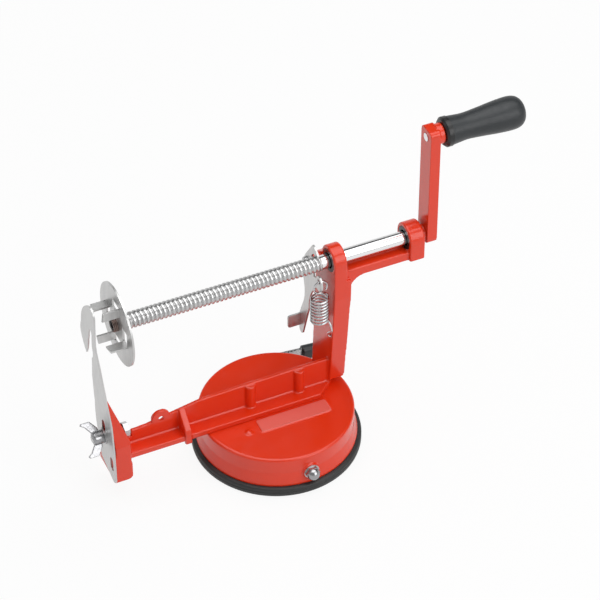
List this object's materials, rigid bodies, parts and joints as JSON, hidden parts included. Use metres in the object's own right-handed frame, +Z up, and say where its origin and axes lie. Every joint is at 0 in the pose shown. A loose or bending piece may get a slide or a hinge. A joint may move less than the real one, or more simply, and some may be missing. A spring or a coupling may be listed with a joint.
{
  "type": "hand cranked spiral potato cutter",
  "caption": "Hand cranked spiral vegetable cutter: a threaded feed shaft with fork disc and crank above a cast beam, a slit blade, a thread catch and a lever suction base.",
  "frame": {"origin": "centre of the suction base's underside, on the table", "axes": "+X along the feed shaft from the blade to the crank, +Y to the rear where the clamping lever is, +Z up"},
  "size_m": [0.352, 0.1371, 0.2601],
  "materials": {
    "red_enamel": "gloss red enamel on cast aluminium",
    "chrome": "bright plated",
    "stainless": "satin sheet",
    "steel": "zinc plated",
    "spring_steel": "drawn wire",
    "rubber": "satin",
    "grip_plastic": "satin charcoal",
    "black_plastic": "satin black"
  },
  "bodies": {
    "base": {"suction_pad": "rubber", "base_drum": "red_enamel", "frame_casting": "red_enamel", "frame_screws": "steel", "blade_bolt": "steel", "catch_pivot_screw": "steel", "catch_spring": "spring_steel"},
    "stem": {"pull_stem": "black_plastic"},
    "lever": {"cam_axle": "steel", "lever_arm": "steel", "lever_grip": "grip_plastic", "axle_nut": "chrome", "axle_washer": "steel"},
    "turning_bushes": {"front_bush": "black_plastic", "rear_bush": "black_plastic"},
    "feed_shaft": {"feed_tube": "chrome", "fork_disc": "stainless", "crank_arm": "red_enamel", "grip_pin": "chrome"},
    "grip": {"grip_collar": "black_plastic", "crank_grip": "grip_plastic"},
    "catch": {"catch_plate": "stainless"},
    "blade": {"spiral_blade": "stainless"},
    "washer": {"clamp_washer": "steel"},
    "wing": {"wing_nut": "chrome"}
  },
  "joints": [
    {"name": "shaft_turn", "type": "hinge", "parent": "base", "child": "turning_bushes", "pos_m": [0.051, 0.006, 0.1575], "axis": [1, 0, 0], "range_deg": [0, 15480]},
    {"name": "shaft_feed", "type": "slide", "parent": "turning_bushes", "child": "feed_shaft", "axis": [1, 0, 0], "range_m": [0, 0.14405]},
    {"name": "grip_turn", "type": "hinge", "parent": "feed_shaft", "child": "grip", "pos_m": [0.15, 0.006, 0.2475], "axis": [1, 0, 0], "continuous": true},
    {"name": "catch_release", "type": "hinge", "parent": "base", "child": "catch", "pos_m": [0.036, 0.021, 0.148], "axis": [1, 0, 0], "range_deg": [-8, 0], "stiffness_Nm_per_rad": 1.3, "springref_deg": 5.73, "deforming": ["catch_spring"]},
    {"name": "lever_swing", "type": "hinge", "parent": "base", "child": "lever", "pos_m": [0.0015, 0, 0.0185], "axis": [0, -1, 0], "range_deg": [0, 180]},
    {"name": "stem_lift", "type": "slide", "parent": "base", "child": "stem", "axis": [0, 0, 1], "range_m": [0, 0.004]},
    {"name": "blade_height", "type": "slide", "parent": "base", "child": "blade", "axis": [0, 0, 1], "range_m": [-0.012, 0]},
    {"name": "washer_back_off", "type": "slide", "parent": "base", "child": "washer", "axis": [1, 0, 0], "range_m": [-0.003, 0]},
    {"name": "wing_nut_turn", "type": "hinge", "parent": "washer", "child": "wing", "pos_m": [-0.1405, 0.006, 0.0515], "axis": [1, 0, 0], "range_deg": [-1080, 0]}
  ],
  "couplings": [
    {"joint": "shaft_feed", "follows": "shaft_turn", "m_per_rad": 0.00053316},
    {"joint": "lever_swing", "follows": "stem_lift", "rad_per_m": 785.39},
    {"joint": "wing_nut_turn", "follows": "washer_back_off", "rad_per_m": 6283.2}
  ]
}
